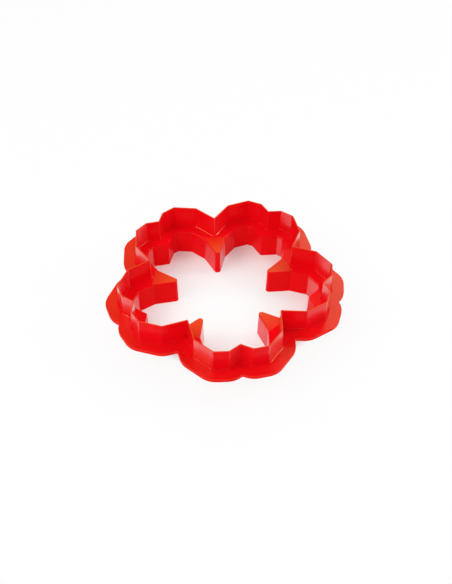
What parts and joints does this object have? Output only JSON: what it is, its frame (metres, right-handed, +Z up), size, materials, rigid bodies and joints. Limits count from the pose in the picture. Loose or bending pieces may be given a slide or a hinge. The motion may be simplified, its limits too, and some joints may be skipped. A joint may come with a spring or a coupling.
{
  "type": "reversible flower pastry cutter",
  "caption": "Rigid plastic flower-shaped pastry cutter that works from both sides: a flat grip plate with a large petal blade above it and a smaller one below.",
  "frame": {"origin": "middle of the footprint's bounding box, on the surface that the cutter stands on", "axes": "+Z up from the small blade's edge to the large blade's rim, +Y along one valley between two petals, +X across the flower"},
  "size_m": [0.101, 0.0972, 0.0219],
  "materials": {
    "red_plastic": "polished mould finish, slightly translucent at thin edges"
  },
  "bodies": {
    "root": {"grip_plate": "red_plastic", "large_blade": "red_plastic", "small_blade": "red_plastic"}
  },
  "joints": []
}
